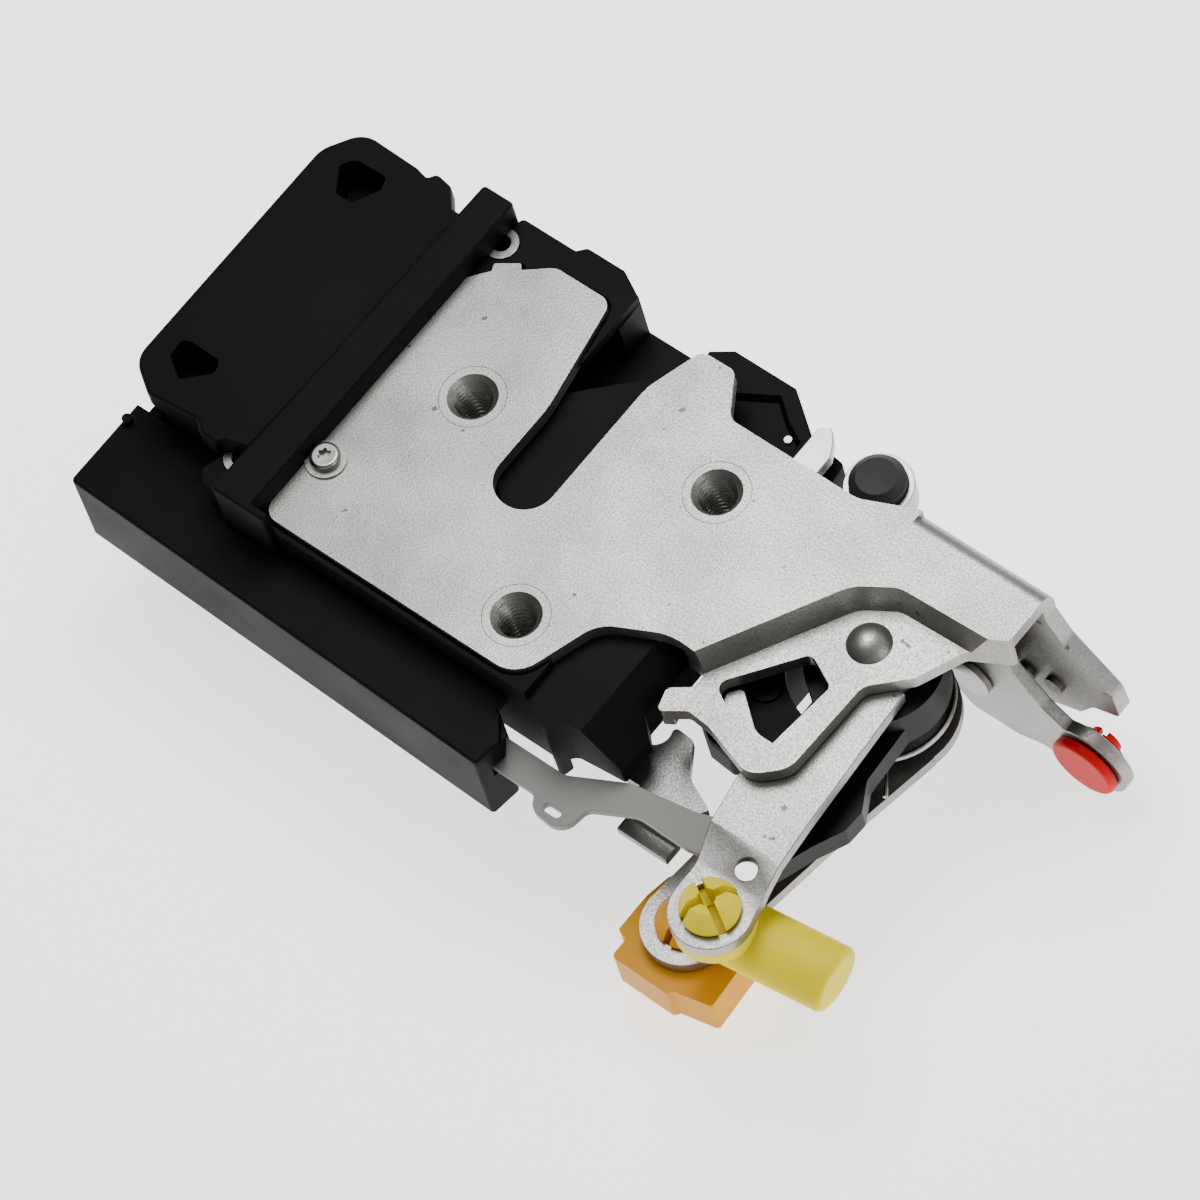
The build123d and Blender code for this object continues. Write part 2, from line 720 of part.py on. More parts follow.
ledge_outline = corners(
    (-60.0, 4.0, 0), (-60.6, -1.0, 1.0), (-63.2, -8.4, 1.4), (-61.0, -10.4, 1.0), (-50.0, -10.4,
                                                                                   0), (-50.0, 4.0, 0),
)


def make_actuator_case():
    """Rear shell: the motor room and the long slide box in one moulding, with the plug socket."""
    inner = offset(case_outline, amount=-case_wall)
    with BuildPart() as actuator_case:
        with BuildSketch(level(case_bottom)):
            add(case_outline)
        extrude(amount=case_top - case_bottom)
        with BuildSketch(level(case_bottom + case_wall)):
            add(inner)
        extrude(amount=case_top - case_bottom, mode=Mode.SUBTRACT)
        with BuildSketch(Plane(origin=(20, 0, 0), x_dir=(0, 1, 0), z_dir=(1, 0, 0))):
            add(corners((-20.6, link_bottom - link_room, 0), (-13.9, link_bottom - link_room, 0),
                        (-13.9, link_top + link_room, 0), (-20.6, link_top + link_room, 0)))
        extrude(amount=-18, mode=Mode.SUBTRACT)
        socket_centre = ((socket_x[0] + socket_x[1]) / 2, (socket_y[0] + socket_y[1]) / 2)
        socket_size = (socket_x[1] - socket_x[0], socket_y[1] - socket_y[0])
        with BuildSketch(level(case_bottom)):
            with Locations(socket_centre):
                RectangleRounded(*socket_size, 2.0)
                RectangleRounded(socket_size[0] - 2 * socket_wall, socket_size[1] - 2 * socket_wall, 1.0,
                                 mode=Mode.SUBTRACT)
        extrude(amount=-socket_depth)
        with BuildSketch(level(case_bottom)):
            with Locations(*[(socket_centre[0] + (i - (terminal_count - 1) / 2) * terminal_pitch,
                              socket_centre[1]) for i in range(terminal_count)]):
                Rectangle(*terminal_size)
        extrude(amount=case_wall, mode=Mode.SUBTRACT)
        with BuildSketch(level(case_bottom + case_wall)):
            with Locations((wheel_x, wheel_y)):
                Circle(axle_radius + 1.4)
                Circle(axle_radius, mode=Mode.SUBTRACT)
        extrude(amount=1.6)
    finish(actuator_case.part, "actuator_case")

    with BuildPart() as terminals:
        for i in range(terminal_count):
            with BuildSketch(level(case_bottom - socket_depth + 3.0)):
                with Locations((socket_centre[0] + (i - (terminal_count - 1) / 2) * terminal_pitch,
                                socket_centre[1])):
                    Rectangle(*terminal_size)
            extrude(amount=socket_depth - 3.0 + case_wall + 0.4)
    finish(terminals.part, "terminals")


def make_covers():
    """Lid of the slide box, and the actuator cover with its raised bar and two cored pockets."""
    with BuildPart() as slide_box_lid:
        with BuildSketch(level(case_top)):
            add(case_outline)
            add(corners((-70.0, -13.0, 0), (4.6, -13.0, 0), (4.6, housing_bottom, 0),
                        (-70.0, housing_bottom, 0)))
            add(corners((-90, -2.4, 0), (plate_left + 1, -2.4, 0), (plate_left + 1, 80, 0), (-90, 80, 0)),
                mode=Mode.SUBTRACT)
            add(corners((plate_left, housing_bottom, 0), (20, housing_bottom, 0), (20, 0, 0),
                        (plate_left, 0, 0)),
                mode=Mode.SUBTRACT)
            add(cover_wall, mode=Mode.SUBTRACT)
            add(bar_outline, mode=Mode.SUBTRACT)
            add(ledge_outline, mode=Mode.SUBTRACT)
        extrude(amount=box_top - case_top)
        lid_edges = slide_box_lid.faces().sort_by(Axis.Z)[-1].edges().filter_by(GeomType.LINE)
        fillet(lid_edges.sort_by(Axis.Y)[0], radius=0.6)
        with BuildSketch(level(case_top)):
            with Locations(peg_place):
                Circle(peg_radius)
        extrude(amount=box_top - case_top + peg_height)
    finish(slide_box_lid.part, "slide_box_lid")

    with BuildPart() as actuator_cover:
        with BuildSketch(level(cover_top - cover_slab)):
            add(cover_outline)
        extrude(amount=cover_slab)
        fillet(actuator_cover.faces().sort_by(Axis.Z)[-1].outer_wire().edges(), radius=0.8)
        with BuildSketch(level(case_top)):
            add(cover_wall)
        extrude(amount=cover_top - cover_slab - case_top)
        with BuildSketch(level(case_top)):
            add(ledge_outline)
        extrude(amount=ledge_top - case_top)
        with BuildSketch(level(case_top)):
            add(bar_outline)
        extrude(amount=bar_top - case_top)
        bar_edges = actuator_cover.faces().sort_by(Axis.Z)[-1].outer_wire().edges()
        fillet(bar_edges.filter_by(Axis.Y).sort_by(SortBy.LENGTH)[-1], radius=0.7)
        with BuildSketch(level(case_top)):
            add(corners((-62.8, 0.6, 1), (-76.6, -0.4, 2), (-81.4, 3.4, 3),
                        (-81.4, actuator_top - 8.2, 4),
                        (-78.8, actuator_top - 3.6, 3), (-62.6, actuator_top - 3.6, 2),
                        (-59.8, actuator_top - 6.8, 1), (-53.0, actuator_top - 6.8, 1), (-53.0, 1.6, 1)))
        extrude(amount=cover_top - case_top - case_wall, mode=Mode.SUBTRACT)
        for y, points in ((pocket_lower_y, lower_pocket), (pocket_upper_y, upper_pocket)):
            pocket = rounded([(pocket_x + px, y + py) for px, py in points], 0.8)
            with BuildSketch(level(cover_top)):
                add(pocket)
                offset(amount=pocket_wall)
            extrude(amount=-pocket_depth - pocket_wall)
            with BuildSketch(level(cover_top)):
                add(pocket)
            extrude(amount=-pocket_depth, mode=Mode.SUBTRACT)
        for place, top in ((eyelet_upper, eyelet_upper_top), (eyelet_lower, eyelet_lower_top)):
            with BuildSketch(level(top - eyelet_length)):
                with Locations(place):
                    Circle(eyelet_bore + eyelet_wall)
            extrude(amount=eyelet_length, mode=Mode.SUBTRACT)
            with BuildSketch(level(top)):
                with Locations(place):
                    Circle(eyelet_radius + seat_gap)
            extrude(amount=eyelet_flange + seat_gap, mode=Mode.SUBTRACT)
        with BuildSketch(level(0)):
            with Locations(screw_place):
                Circle(washer_radius + seat_gap)
        extrude(amount=washer_sheet + seat_gap, mode=Mode.SUBTRACT)
    finish(actuator_cover.part, "actuator_cover")


def make_lock_drive():
    """Motor, worm, worm wheel with pinion, its axle, and the rack with the link strip."""
    front = Plane(origin=(motor_x, motor_start, motor_z), x_dir=(1, 0, 0), z_dir=(0, 1, 0))
    with BuildPart() as motor_can:
        with BuildSketch(front):
            Circle(motor_radius)
            Circle(shaft_radius + pivot_clearance, mode=Mode.SUBTRACT)
        extrude(amount=motor_length)
        with BuildSketch(front.offset(motor_can_sheet)):
            Circle(motor_radius - motor_can_sheet)
        extrude(amount=motor_length - motor_can_sheet, mode=Mode.SUBTRACT)
        with BuildSketch(front):
            Circle(motor_nose_radius)
            Circle(shaft_radius + pivot_clearance, mode=Mode.SUBTRACT)
        extrude(amount=-motor_nose)
    finish(motor_can.part, "motor_can")

    with BuildPart() as motor_end_cap:
        with BuildSketch(front.offset(motor_length)):
            Circle(motor_radius)
        extrude(amount=motor_cap)
        with BuildSketch(front.offset(motor_length)):
            Circle(shaft_radius + pivot_clearance)
        extrude(amount=motor_cap - motor_nose, mode=Mode.SUBTRACT)
    finish(motor_end_cap.part, "motor_end_cap")

    with BuildPart() as motor_rotor:
        with BuildSketch(front.offset(rotor_start)):
            Circle(motor_radius - rotor_gap)
            with PolarLocations(motor_radius - rotor_gap, 3):
                Rectangle(4.0, 1.6, mode=Mode.SUBTRACT)
        extrude(amount=motor_length - rotor_room)
        shaft_end = motor_length + motor_cap - shaft_end_room
        with BuildSketch(front.offset(shaft_end)):
            Circle(shaft_radius)
        extrude(amount=-(shaft_end + motor_start - worm_start + worm_length + 0.4))
    finish(motor_rotor.part, "motor_rotor")

    worm_face = front.offset(worm_start - motor_start)
    with BuildPart() as worm:
        with BuildSketch(worm_face):
            Circle(worm_radius - tooth_depth)
            Circle(shaft_radius, mode=Mode.SUBTRACT)
        extrude(amount=-worm_length)
        for i in range(worm_turns):
            with BuildSketch(worm_face.offset(-worm_lead - i * worm_pitch)):
                Circle(worm_radius)
                Circle(shaft_radius, mode=Mode.SUBTRACT)
            extrude(amount=-worm_crest)
    finish(worm.part, "worm")

    with BuildPart() as worm_wheel:
        with BuildSketch(level(wheel_bottom)):
            with Locations((wheel_x, wheel_y)):
                Circle(wheel_radius)
                with PolarLocations(wheel_radius, wheel_teeth):
                    Rectangle(1.4, 0.9, mode=Mode.SUBTRACT)
        extrude(amount=wheel_height)
        with BuildSketch(level(wheel_bottom)):
            with Locations((wheel_x, wheel_y)):
                Circle(pinion_radius - tooth_depth)
                with PolarLocations(pinion_radius - tooth_depth, pinion_teeth):
                    Rectangle(2 * tooth_depth, tooth_width)
        extrude(amount=-pinion_height)
        with BuildSketch(level(wheel_bottom + wheel_height)):
            with Locations((wheel_x, wheel_y)):
                Circle(axle_radius + pivot_clearance)
        extrude(amount=-wheel_height - pinion_height, mode=Mode.SUBTRACT)
    finish(worm_wheel.part, "worm_wheel")

    with BuildPart() as wheel_axle:
        with BuildSketch(level(case_bottom + case_wall)):
            with Locations((wheel_x, wheel_y)):
                Circle(axle_radius)
        extrude(amount=wheel_bottom + wheel_height + 0.6 - case_bottom - case_wall)
    finish(wheel_axle.part, "wheel_axle")

    tooth_tips = wheel_y - pinion_radius + tooth_mesh
    rack_line = tooth_tips - tooth_depth + 0.2
    tooth_pitch = 2 * pi * (pinion_radius - tooth_mesh + 0.15) / pinion_teeth
    with BuildPart() as rack_slide:
        with BuildSketch(level(rack_bottom)):
            add(corners((wheel_x - rack_teeth * tooth_pitch + 2.0, rack_line, 0.4),
                        (wheel_x - rack_teeth * tooth_pitch + 2.0, -18.2, 0.4), (rack_end, -19.6, 0.5),
                        (rack_end, -16.0, 0.5), (-53.0, -15.8, 0.5), (-55.0, rack_line, 0.3)))
        extrude(amount=link_bottom - rack_bottom)
        with BuildSketch(level(rack_bottom + rack_step)):
            tooth_y = tooth_tips - tooth_depth / 2
            with Locations(*[(wheel_x - i * tooth_pitch, tooth_y) for i in range(rack_teeth)]):
                Rectangle(tooth_width, tooth_depth)
        extrude(amount=link_bottom - rack_bottom - rack_step)
    finish(rack_slide.part, "rack_slide")


def make_link():
    """Thin strip that carries the rack's travel to the lock lever; its eye takes the lock rod."""
    with BuildPart() as link_strip:
        with BuildSketch(level(link_bottom)):
            add(corners((rack_end - 8.0, -19.4, 0.5), (rack_end, -20.0, 3.0), (17.2, -20.0, 1.5),
                        (18.6, -22.6, 3.0), (25.8, -23.4, 3.4), (26.6, -17.4, 2.0), (34.5, -13.4, 4.0),
                        (45.0, -13.6, 5.0), (50.0, -12.6, 3.4),
                        (53.6, -9.0, 3.0), (51.0, -4.4, 3.0), (42.0, -7.4, 5.0), (29.6, -9.3, 6.0),
                        (19.4, -14.4, 4.0), (5.8, -14.4, 0.4), (5.8, -16.4, 0.4), (rack_end - 8.0,
                                                                                   -16.4, 0.5)))
            with Locations(link_eye):
                SlotOverall(3.6, 1.6, mode=Mode.SUBTRACT)
            with Locations(lock_pin):
                SlotOverall(6.0, 2 * (lock_pin_radius + 0.1), rotation=90, mode=Mode.SUBTRACT)
        extrude(amount=link_sheet)
    finish(link_strip.part, "link_strip")


def lever_profile(top, drop, start, end):
    """Side view of a strip with one joggle, as y and z points, top line first and bottom line back."""
    upper = [(70.0, top), (start, top), (end, top - drop), (-60.0, top - drop)]
    lower = [(y, z - lever_sheet) for y, z in reversed(upper)]
    return upper + lower


def make_outside_lever():
    """Outside-handle lever: flat strip, one joggle, round end for the yellow clip."""
    with BuildPart() as outside_lever:
        with BuildSketch(Plane(origin=(0, 0, 0), x_dir=(0, 1, 0), z_dir=(1, 0, 0))):
            with BuildLine():
                Polyline(*lever_profile(outside_top, outside_step, step_start, step_end), close=True)
            make_face()
        extrude(amount=100)
        with BuildSketch(level(0)):
            with Locations(pivot):
                Circle(outside_hub)
            add(corners((49.3, 28.0, 0), (49.3, 8.4, 2.0), (43.4, 8.4, 4.0), (36.4, 13.8, 1.2),
                        (34.6, 11.4, 1.2),
                        (36.4, 6.6, 2.0), (45.6, 1.8, 1.5), (47.4, -9.0, 5.0), (49.4, -16.0,
                                                                                4.0), (49.4, -21.0, 0),
                        (64.2, -21.0, 0), (62.6, -13.0, 4.0), (61.4, 0.0, 5.0), (59.6, 28.0, 0)))
            with Locations(outside_ring):
                Circle(outside_ring_radius)
                Circle(ring_hole, mode=Mode.SUBTRACT)
            with Locations(pivot):
                Circle(pivot_radius + pivot_clearance, mode=Mode.SUBTRACT)
            with Locations(stud_place):
                Circle(stud_radius, mode=Mode.SUBTRACT)
        extrude(amount=-60, mode=Mode.INTERSECT)
    finish(outside_lever.part, "outside_lever")

    stud_top = outside_top - outside_step * (step_start - stud_place[1]) / (step_start - step_end)
    with BuildPart() as lever_stud:
        with BuildSketch(level(stud_top - 0.4)):
            with Locations(stud_place):
                Circle(stud_radius)
        extrude(amount=-lever_sheet - 0.4)
    finish(lever_stud.part, "lever_stud")


def make_lock_lever():
    """Plastic lock lever between the two handle levers, with the bobbin that spaces the stack."""
    with BuildPart() as lock_lever:
        with BuildSketch(level(lock_arm_bottom)):
            with Locations(pivot):
                Circle(bobbin_radius)
        extrude(amount=bobbin_top - lock_arm_bottom)
        with BuildSketch(level(bobbin_bottom)):
            with Locations(pivot):
                Circle(drum_radius)
        extrude(amount=lock_arm_bottom - bobbin_bottom)
        with BuildSketch(level(lock_arm_bottom)):
            add(corners((44.5, 28.0, 0), (44.4, 9.4, 1.5), (50.0, 7.0, 1.0), (50.2, -9.4, 1.5),
                        (58.2, -9.4, 2.0),
                        (61.4, -1.0, 3.0), (64.2, 4.6, 1.2), (64.4, 8.8, 1.0), (61.4, 14.0, 2.0), (60.6,
                                                                                                   28.0, 0)))
        extrude(amount=lock_arm_top - lock_arm_bottom)
        with BuildSketch(level(lock_arm_top)):
            with Locations(lock_pin):
                Circle(lock_pin_boss)
            add(corners((45.0, 9.0, 0), (45.6, -8.5, 0), (53.0, -8.5, 0), (53.0, 9.0, 0)))
        extrude(amount=-lock_arm_sheet)
        with BuildSketch(level(lock_arm_top)):
            with Locations(lock_pin):
                Circle(lock_pin_radius)
        extrude(amount=link_top + lock_pin_rise - lock_arm_top)
        with BuildSketch(level(bobbin_top)):
            with Locations(pivot):
                Circle(pivot_radius + pivot_clearance)
        extrude(amount=bobbin_bottom - bobbin_top, mode=Mode.SUBTRACT)
    finish(lock_lever.part, "lock_lever")


def make_inside_lever():
    """Inside-handle lever, the rear sheet of the stack; its round end takes the orange clip."""
    with BuildPart() as inside_lever:
        with BuildSketch(level(inside_bottom)):
            with Locations(pivot):
                Circle(inside_hub)
            add(corners((38.6, 30.0, 0), (41.6, 8.0, 8.0), (39.1, -19.9, 0), (55.1, -19.9, 0),
                        (56.6, -8.0, 6.0),
                        (58.6, 6.0, 8.0), (62.6, 28.0, 0)))
            with Locations(inside_ring):
                Circle(inside_ring_radius)
                Circle(ring_hole, mode=Mode.SUBTRACT)
            with Locations(pivot):
                Circle(pivot_radius + pivot_clearance, mode=Mode.SUBTRACT)
        extrude(amount=lever_sheet)
    finish(inside_lever.part, "inside_lever")


def make_pivot():
    """Domed rivet that carries the lever stack, its tail washer, and the return spring."""
    tail_top = inside_bottom - lever_gap
    with BuildPart() as pivot_rivet:
        tail = tail_top - bracket_top - rivet_tail
        dome_ball = (pivot_radius ** 2 + dome_height ** 2) / (2 * dome_height)
        half_turn = asin(pivot_radius / dome_ball) / 2
        with BuildSketch(Plane(origin=(*pivot, bracket_top), x_dir=(1, 0, 0), z_dir=(0, -1, 0))):
            with BuildLine():
                ThreePointArc((pivot_radius, 0), (dome_ball * sin(half_turn), dome_height - dome_ball
                                                  + dome_ball * cos(half_turn)), (0, dome_height))
                Polyline((0, dome_height), (0, tail), (pivot_radius, tail), (pivot_radius, 0))
            make_face()
        revolve(axis=Axis((*pivot, 0), (0, 0, 1)))
    finish(pivot_rivet.part, "pivot_rivet")

    with BuildPart() as pivot_washer:
        with BuildSketch(level(tail_top)):
            with Locations(pivot):
                Circle(pivot_washer_radius)
                Circle(pivot_radius, mode=Mode.SUBTRACT)
        extrude(amount=-rivet_tail)
    finish(pivot_washer.part, "pivot_washer")

    spring_z = lock_arm_bottom - lever_spring_drop
    spring_radius = drum_radius + spring_wire + 0.5
    leg_angle = radians(-50)
    leg_start = (pivot[0] + spring_radius * cos(leg_angle), pivot[1] + spring_radius * sin(leg_angle),
                 spring_z)
    lever_spring = coil(pivot, spring_z, spring_radius, spring_wire, [
        (leg_start, (leg_start[0] + 4.4, leg_start[1] - 6.0, spring_z))])
    finish(lever_spring, "lever_spring")


def make_lever_housing():
    """Black plastic frame behind the bracket; its boss shows through the bracket's window."""
    with BuildPart() as lever_housing:
        with BuildSketch(level(frame_top)):
            add(corners((28.8, 8.0, 2), (36.0, 4.0, 2), (47.0, 3.0, 2), (50.0, 20.0, 2), (46.0, 26.0, 2),
                        (42.0, 50.6, 1), (28.8, 50.6, 1)))
            with Locations(pivot):
                Circle(bobbin_radius + 3.2, mode=Mode.SUBTRACT)
        extrude(amount=-frame_sheet)
        with BuildSketch(level(frame_top)):
            add(corners((28.8, 8.0, 1), (35.6, 7.4, 1), (35.6, 44.0, 2), (45.6, 47.0, 1),
                        (45.6, flange_inner, 0),
                        (28.8, flange_inner, 1)))
        extrude(amount=-frame_depth)
        with BuildSketch(level(frame_top)):
            with Locations(boss_place):
                Circle(boss_radius)
        extrude(amount=boss_rise)
        with BuildSketch(level(frame_top)):
            add(corners((28.8, 26.0, 0), (33.0, 26.0, 0), (33.0, 48.0, 0), (28.8, 48.0, 0)))
        extrude(amount=frame_post)
    finish(lever_housing.part, "lever_housing")


def make_yellow_clip():
    """Yellow rod clip: split stud through the lever's round end and a closed rod barrel behind it."""
    disc_top = outside_ring_bottom - lever_gap
    barrel_z = disc_top - yellow_drop - yellow_half_height
    with BuildPart() as yellow_clip:
        with BuildSketch(Plane(origin=(*outside_ring, disc_top), x_dir=(1, 0, 0), z_dir=(0, -1, 0))):
            with BuildLine():
                barrel = ring_hole - stud_play
                rise = outside_ring_top - disc_top
                Polyline((0, 0), (barrel, 0), (barrel, rise + 0.25), (barrel + clip_lip, rise + 0.6),
                         (barrel + clip_lip, rise + 1.4), (barrel - 1.5, rise + 4.6),
                         (0, rise + 4.6), close=True)
            make_face()
        revolve(axis=Axis((*outside_ring, 0), (0, 0, 1)))
        with BuildSketch(level(disc_top - yellow_drop - yellow_sink)):
            with Locations(outside_ring):
                Circle(clip_disc)
        extrude(amount=yellow_drop + yellow_sink)
        rod_end = Plane(origin=(outside_ring[0], outside_ring[1] + yellow_offset, barrel_z),
                        x_dir=(-sin(radians(yellow_angle)), cos(radians(yellow_angle)), 0),
                        z_dir=(cos(radians(yellow_angle)), sin(radians(yellow_angle)),
                               0)).offset(-yellow_tail)
        with BuildSketch(rod_end):
            Ellipse(yellow_half_width, yellow_half_height)
        extrude(amount=yellow_length + yellow_tail)
        fillet(yellow_clip.faces().sort_by(Axis.X)[-1].edges(), radius=1.2)
        with BuildSketch(turned(*outside_ring, outside_ring_top + 5, clip_slot_angle)):
            Rectangle(2 * clip_disc, clip_slot)
            Rectangle(clip_slot, 2 * clip_disc)
        extrude(amount=-6.4, mode=Mode.SUBTRACT)
        with BuildSketch(level(outside_ring_top + 5)):
            with Locations(outside_ring):
                Circle(clip_bore)
        extrude(amount=-7.0, mode=Mode.SUBTRACT)
        with BuildSketch(rod_end):
            Circle(rod_bore)
        extrude(amount=yellow_bore_depth, mode=Mode.SUBTRACT)
    finish(yellow_clip.part, "yellow_clip")


def make_orange_clip():
    """Orange rod clip: stud through the inside lever's round end, block with a rod saddle below."""
    disc_top = inside_bottom - lever_gap
    x, y = inside_ring
    with BuildPart() as orange_clip:
        with BuildSketch(Plane(origin=(x, y, disc_top), x_dir=(1, 0, 0), z_dir=(0, -1, 0))):
            with BuildLine():
                barrel = ring_hole - stud_play
                rise = inside_top - disc_top
                Polyline((0, 0), (barrel, 0), (barrel, rise + 0.2), (barrel + clip_lip, rise + 0.5),
                         (barrel + clip_lip, rise + 1.0), (barrel - 1.0, rise + 2.4),
                         (0, rise + 2.4), close=True)
            make_face()
        revolve(axis=Axis((x, y, 0), (0, 0, 1)))
        with BuildSketch(level(disc_top - orange_height)):
            add(corners((x - 9.0, y + 6.6, 1.5), (x - orange_left, y + 1.0, 0.4),
                        (x - orange_left, y - 6.6, 0.4),
                        (x - 7.8, y - 7.4, 0.6), (x - 7.8, y - 11.2, 0.8), (x + 4.2, y - 11.4, 0.8),
                        (x + 5.0, y - 10.4, 0.4),
                        (x + 12.2, y - 9.0, 0.8), (x + 11.4, y + 3.0, 1.5), (x + 6.0, y + 7.6, 2.0)))
        extrude(amount=orange_height)
        with BuildSketch(Plane(origin=(x - orange_left, y + orange_bore_y, disc_top - orange_bore_drop),
                               x_dir=(0, 1, 0), z_dir=(1, 0, 0))):
            Circle(rod_bore)
        extrude(amount=orange_bore_depth, mode=Mode.SUBTRACT)
        with BuildSketch(level(inside_top + 3)):
            with Locations((x, y)):
                Rectangle(clip_slot, 14)
                Circle(clip_bore)
        extrude(amount=-5.6, mode=Mode.SUBTRACT)
    finish(orange_clip.part, "orange_clip")


def make_knob_lever():
    """Knob lever beside the flange, its shoulder rivet, and the red clip in its round end."""
    with BuildPart() as knob_lever:
        with BuildSketch(along_y(knob_back)):
            add(corners((60.6, -7.0, 1), (67.8, -7.0, 1), (65.9, -16.4, 2), (67.2, -19.8, 2),
                        (72.4, -26.8, 2),
                        (77.2, -30.4, 3), (83.0, -29.4, 2), (84.0, -40.0, 0), (76.0, -43.2, 3), (71.0,
                                                                                                 -42.0, 3),
                        (64.5, -44.4, 3), (55.0, -44.4, 3), (50.0, -38.0, 3), (50.0, -24.0, 4), (58.6,
                                                                                                 -17.0, 4)))
            with Locations(knob_ring):
                Circle(knob_ring_radius)
                Circle(red_hole, mode=Mode.SUBTRACT)
            with Locations(knob_pivot):
                Circle(knob_pivot_radius + pivot_clearance, mode=Mode.SUBTRACT)
        extrude(amount=lever_sheet)
    finish(knob_lever.part, "knob_lever")

    with BuildPart() as knob_rivet:
        with BuildSketch(along_y(flange_inner)):
            with Locations(knob_pivot):
                Circle(knob_flange_radius)
        extrude(amount=flange_inner - knob_back - lever_gap)
        with BuildSketch(along_y(flange_inner)):
            with Locations(knob_pivot):
                Circle(knob_pivot_radius)
        extrude(amount=flange_inner - knob_front + lever_gap)
        with BuildSketch(along_y(knob_front - lever_gap)):
            with Locations(knob_pivot):
                Circle(knob_head_radius)
        extrude(amount=knob_head)
    finish(knob_rivet.part, "knob_rivet")

    with BuildPart() as red_clip:
        barrel = red_hole - stud_play
        with BuildSketch(along_y(knob_front - lever_gap)):
            with Locations(knob_ring):
                Circle(red_disc)
        extrude(amount=red_sheet)
        fillet(red_clip.faces().sort_by(Axis.Y)[0].edges(), radius=0.8)
        with BuildSketch(along_y(knob_back + lever_gap)):
            with Locations(knob_ring):
                Circle(barrel)
        extrude(amount=lever_sheet + 2 * lever_gap)
        with BuildSketch(along_y(knob_back + lever_gap + red_stud)):
            with Locations(knob_ring):
                Circle(barrel - red_lip)
        extrude(amount=red_stud)
        with BuildSketch(along_y(knob_back + lever_gap + red_lip)):
            with Locations(knob_ring):
                Circle(barrel + clip_lip)
        extrude(amount=red_lip)
        with BuildSketch(along_y(knob_back + lever_gap + red_stud)):
            with Locations(knob_ring):
                Rectangle(clip_slot, 14)
                Circle(red_bore)
        extrude(amount=red_slot, mode=Mode.SUBTRACT)
    finish(red_clip.part, "red_clip")


def make_bumper():
    """Rubber bumper in a curled steel strap that is welded to the flange."""
    with BuildPart() as bumper:
        with BuildSketch(level(bumper_top)):
            with Locations(bumper_place):
                Circle(bumper_radius)
        extrude(amount=-bumper_height)
        chamfer(bumper.faces().sort_by(Axis.Z)[-1].edges(), length=bumper_chamfer)
    finish(bumper.part, "bumper")

    x, y = bumper_place
    with BuildPart() as bumper_bracket:
        with BuildSketch(level(bracket_ring_top)):
            with Locations(bumper_place):
                Circle(bumper_radius + bracket_ring)
            add(corners((x, flange_inner - bracket_ring, 0.4), (50.0, flange_inner - bracket_ring, 0.4),
                        (50.0, flange_inner, 0.2), (x + 5.6, flange_inner, 0.6), (x, flange_inner + 1.0,
                                                                                  0)))
            with Locations(bumper_place):
                Circle(bumper_radius, mode=Mode.SUBTRACT)
        extrude(amount=-bracket_ring_height)
    finish(bumper_bracket.part, "bumper_bracket")


make_face_plate()
make_tapped_bushes()
make_latch_housing()
make_back_plate()
make_claw()
make_latch_springs()
make_pawl()
make_fasteners()
make_eyelets()
make_actuator_case()
make_covers()
make_lock_drive()
make_link()
make_outside_lever()
make_lock_lever()
make_inside_lever()
make_pivot()
make_lever_housing()
make_yellow_clip()
make_orange_clip()
make_knob_lever()
make_bumper()
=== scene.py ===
import bmesh
import bpy
import json
import math
from mathutils import Matrix, Vector

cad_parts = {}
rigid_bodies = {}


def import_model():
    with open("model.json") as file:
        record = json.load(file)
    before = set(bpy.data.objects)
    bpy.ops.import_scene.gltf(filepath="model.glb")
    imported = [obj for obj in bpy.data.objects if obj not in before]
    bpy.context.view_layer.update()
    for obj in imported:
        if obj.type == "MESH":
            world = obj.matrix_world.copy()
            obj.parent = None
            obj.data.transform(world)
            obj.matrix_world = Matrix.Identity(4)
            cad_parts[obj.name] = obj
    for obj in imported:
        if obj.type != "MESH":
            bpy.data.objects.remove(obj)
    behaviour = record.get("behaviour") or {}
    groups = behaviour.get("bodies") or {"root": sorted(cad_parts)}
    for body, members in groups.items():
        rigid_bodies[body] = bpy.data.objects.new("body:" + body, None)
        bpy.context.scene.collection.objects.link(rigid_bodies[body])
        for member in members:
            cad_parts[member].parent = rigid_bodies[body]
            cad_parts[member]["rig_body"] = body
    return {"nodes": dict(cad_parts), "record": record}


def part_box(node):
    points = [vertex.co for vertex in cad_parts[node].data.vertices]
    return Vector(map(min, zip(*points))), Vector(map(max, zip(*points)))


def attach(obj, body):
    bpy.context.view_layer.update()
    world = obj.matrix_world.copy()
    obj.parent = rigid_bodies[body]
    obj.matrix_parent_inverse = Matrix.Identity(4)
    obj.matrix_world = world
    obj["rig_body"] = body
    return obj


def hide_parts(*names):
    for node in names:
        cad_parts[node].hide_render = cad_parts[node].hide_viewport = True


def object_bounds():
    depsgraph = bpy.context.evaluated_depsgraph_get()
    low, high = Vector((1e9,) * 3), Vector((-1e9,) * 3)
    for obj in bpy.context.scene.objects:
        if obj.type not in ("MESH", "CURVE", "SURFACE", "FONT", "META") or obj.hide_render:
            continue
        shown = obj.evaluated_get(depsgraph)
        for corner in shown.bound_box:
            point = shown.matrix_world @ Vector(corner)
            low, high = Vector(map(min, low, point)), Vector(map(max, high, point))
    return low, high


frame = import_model()
cad_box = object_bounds()
nodes = frame["nodes"]
slot_of = {entry["node"]: entry["material_slot"] for entry in frame["record"]["subparts"]}
scene = bpy.context.scene

MM = 0.001
IMAGE = 1200
PX_PER_MM = 6.0
WHITE = (1.0, 1.0, 1.0)

